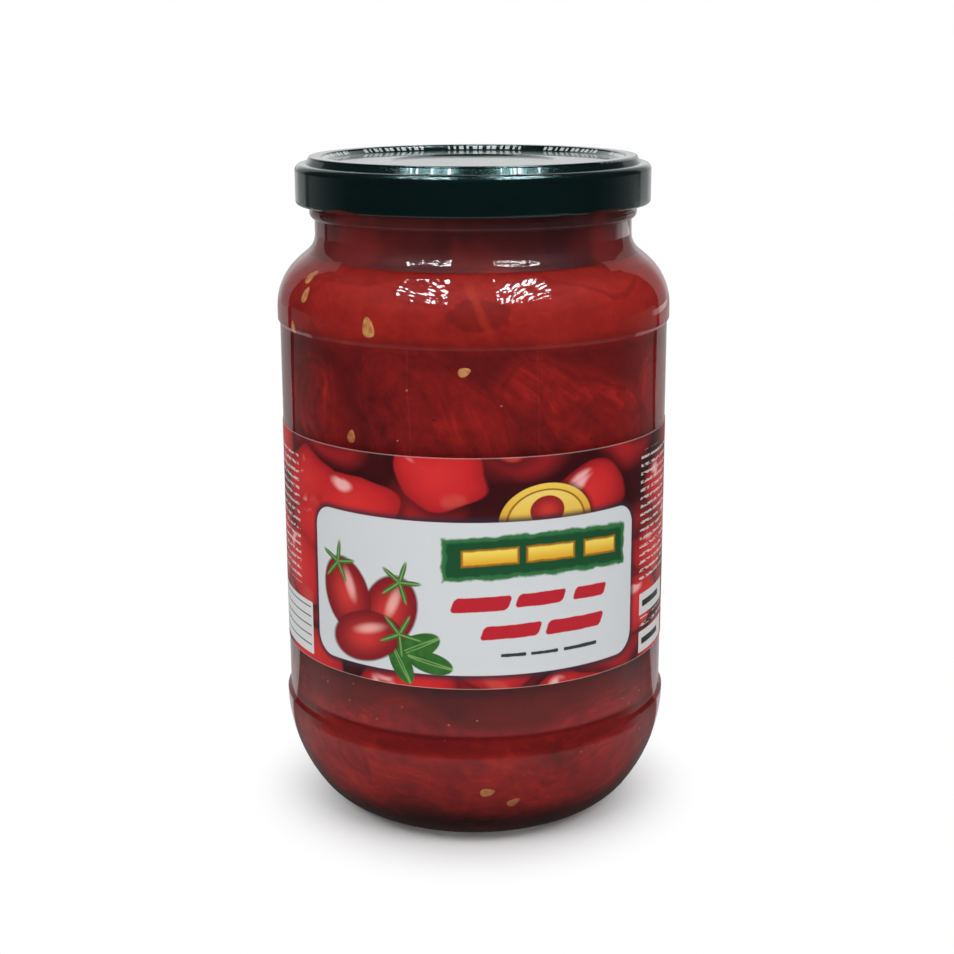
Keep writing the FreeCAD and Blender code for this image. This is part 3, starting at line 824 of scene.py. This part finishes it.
def white_floor():
    """White to the eye, with the object's shadow near it, and dim to whatever mirrors it."""
    floor = Finish("white_floor")
    _, (x, y, _) = floor.place()
    away = (x * x + y * y) ** 0.5
    ray = floor.node("ShaderNodeLightPath").outputs
    glossy = Value(floor, ray["Is Glossy Ray"])
    seen = Value(floor, ray["Is Camera Ray"]) | Value(floor, ray["Is Transmission Ray"])
    matt = floor.node("ShaderNodeBsdfDiffuse", None, {"Color": (0.79, 0.79, 0.79, 1.0)}).outputs[0]
    lit = floor.node("ShaderNodeMixShader", None,
                     {0: floor.step(away, 32.0, 60.0) * seen, 1: matt, 2: glow_of(floor, 1.0)}).outputs[0]
    # what polished surfaces see of the table: pale behind the jar, dim at the sides, dark in front
    bearing = floor.math("ARCTAN2", abs(x), y) * (180 / math.pi)
    bent = bearing - floor.step(away, 420.0, 120.0) * 15.0
    behind = floor.step(bent, 46.5, 45.5) * (0.42 + floor.step(away, 330.0, 130.0) * 0.08)
    corner = floor.step(x, 480.0, 620.0) * floor.step(abs(away - 1330.0), 330.0, 230.0) * 0.7
    corner = corner * floor.step(bearing, 60.0, 50.0)
    beside = floor.step(bearing, 51.0, 52.0) * floor.step(bearing, 100.0, 54.0) * 0.14
    seams = floor.step(abs(bearing - 143.0), 0.5, 0.2) * floor.step(abs(away - 600.0), 200.0, 150.0) * 0.16
    before = floor.step(bearing, 60.0, 95.0) * floor.step(away, 300.0, 110.0)
    before = before * floor.step(away, 22.0, 105.0) * 0.4
    dim = glow_of(floor, behind + beside + seams + before + corner + 0.015)
    edge = floor.step(away, 24.0, 32.0) * glossy
    return floor.surface(floor.node("ShaderNodeMixShader", None, {0: edge, 1: lit, 2: dim}).outputs[0])


def white_backdrop():
    """White to the eye, and shaded down and aside to whatever mirrors it."""
    back = Finish("white_backdrop")
    _, (x, _, z) = back.place()
    ray = back.node("ShaderNodeLightPath").outputs
    dimmed = back.step(z, 330.0, 150.0) * 0.4 | back.step(abs(x), 150.0, 850.0) * 0.68
    return back.surface(glow_of(back, 1 - Value(back, ray["Is Glossy Ray"]) * dimmed))


def crumpled_foil():
    """Foil lit in small bright dents, which the shoulder mirrors."""
    foil = Finish("crumpled_foil")
    spot, _ = foil.place()
    drawn = foil.stretch(spot, 1.0, 0.26, 1.0)
    cells = foil.node("ShaderNodeTexVoronoi", None, {"Vector": drawn, "Scale": 0.030}).outputs
    facet = foil.node("ShaderNodeSeparateColor", None, {0: cells["Color"]}).outputs
    crease = foil.noise(drawn, 0.012, 2.0)
    dent = foil.step(Value(foil, cells["Distance"]), 0.50, 0.36)
    flash = dent * foil.step(Value(foil, facet[0]) + 0.8 * (crease - 0.5), 0.44, 0.50, 0.0, 40.0)
    flash = flash + 0.06 + 0.3 * Value(foil, facet[1]) * Value(foil, facet[2])
    return foil.surface(glow_of(foil, flash))


def studio():
    half = FLOOR_HALF
    sheet_of("floor", [(-half, -half, 0), (half, -half, 0), (half, half, 0), (-half, half, 0)],
             white_floor())
    half, top = BACKDROP_HALF, BACKDROP_TOP
    sheet_of("backdrop", [(-half, BACKDROP_AT, 0.0), (half, BACKDROP_AT, 0.0),
                          (half, BACKDROP_AT, top), (-half, BACKDROP_AT, top)], white_backdrop())
    foil = crumpled_foil()
    for name, side in (("foil_left", -1), ("foil_right", 1)):
        sheet = sheet_of(name, [(side * 0.32, -1.12, FOIL_HEIGHT), (side * 0.88, -0.66, FOIL_HEIGHT),
                                (side * 0.34, 0.16, FOIL_HEIGHT), (side * 0.07, 0.12, FOIL_HEIGHT)], foil)
        sheet.visible_diffuse = False
        sheet.visible_shadow = False

    for name, where, wide, deep, power in LAMPS:
        data = bpy.data.lights.new(name, "AREA")
        data.shape = "RECTANGLE"
        data.size = wide
        data.size_y = deep
        data.energy = power
        lamp = bpy.data.objects.new(name, data)
        lamp.location = where
        lamp.rotation_mode = "QUATERNION"
        lamp.rotation_quaternion = (LAMP_AIM - Vector(where)).to_track_quat("-Z", "Y")
        lamp.visible_glossy = False
        lamp.visible_camera = False
        bpy.context.scene.collection.objects.link(lamp)

    world = bpy.data.worlds.new("studio")
    bpy.context.scene.world = world
    air = Finish("studio", world)
    ray = air.node("ShaderNodeLightPath").outputs
    direct = Value(air, ray["Is Camera Ray"]) | Value(air, ray["Is Transmission Ray"])
    glossy = Value(air, ray["Is Glossy Ray"])
    strength = direct + (1 - direct) * ((1 - glossy) * 0.36 + glossy * 0.02)
    shade = air.node("ShaderNodeBackground", None, {"Color": WHITE, "Strength": strength}).outputs[0]
    air.node("ShaderNodeOutputWorld", None, {"Surface": shade})


def camera():
    data = bpy.data.cameras.new("camera")
    data.lens = 65.44
    data.sensor_width = 36.0
    data.shift_x = 0.00475
    eye = bpy.data.objects.new("camera", data)
    eye.location = (0.0, -0.4231, 0.1909)
    eye.rotation_euler = (math.radians(90 - 14.36), math.radians(0.22), 0.0)
    bpy.context.scene.collection.objects.link(eye)
    bpy.context.scene.camera = eye


# ---------------------------------------------------------------- dress the model

def coat(node, material):
    """Gives a solid of the pack its finish."""
    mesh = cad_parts[node].data
    mesh.materials.clear()
    mesh.materials.append(material)


camera()
studio()
coat("jar", clear_glass())
coat("lid", lid_lacquer())
coat("seal", sealing_compound())
coat("label", printed_label())

contents, wall = contents_mesh()
contents.data.materials.append(tomato_in_juice())
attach(contents, "root")
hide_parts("contents")

film = film_mesh()
film.data.materials.append(juice_film())
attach(film, "root")

seeds = drops_mesh("tomato_seeds", wall, seeds_placed())
seeds.data.materials.append(seed_skin())
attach(seeds, "root")

flecks = drops_mesh("pulp_flecks", wall, flecks_placed())
flecks.data.materials.append(pulp_crumb())
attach(flecks, "root")

bpy.context.scene.view_settings.view_transform = "Standard"
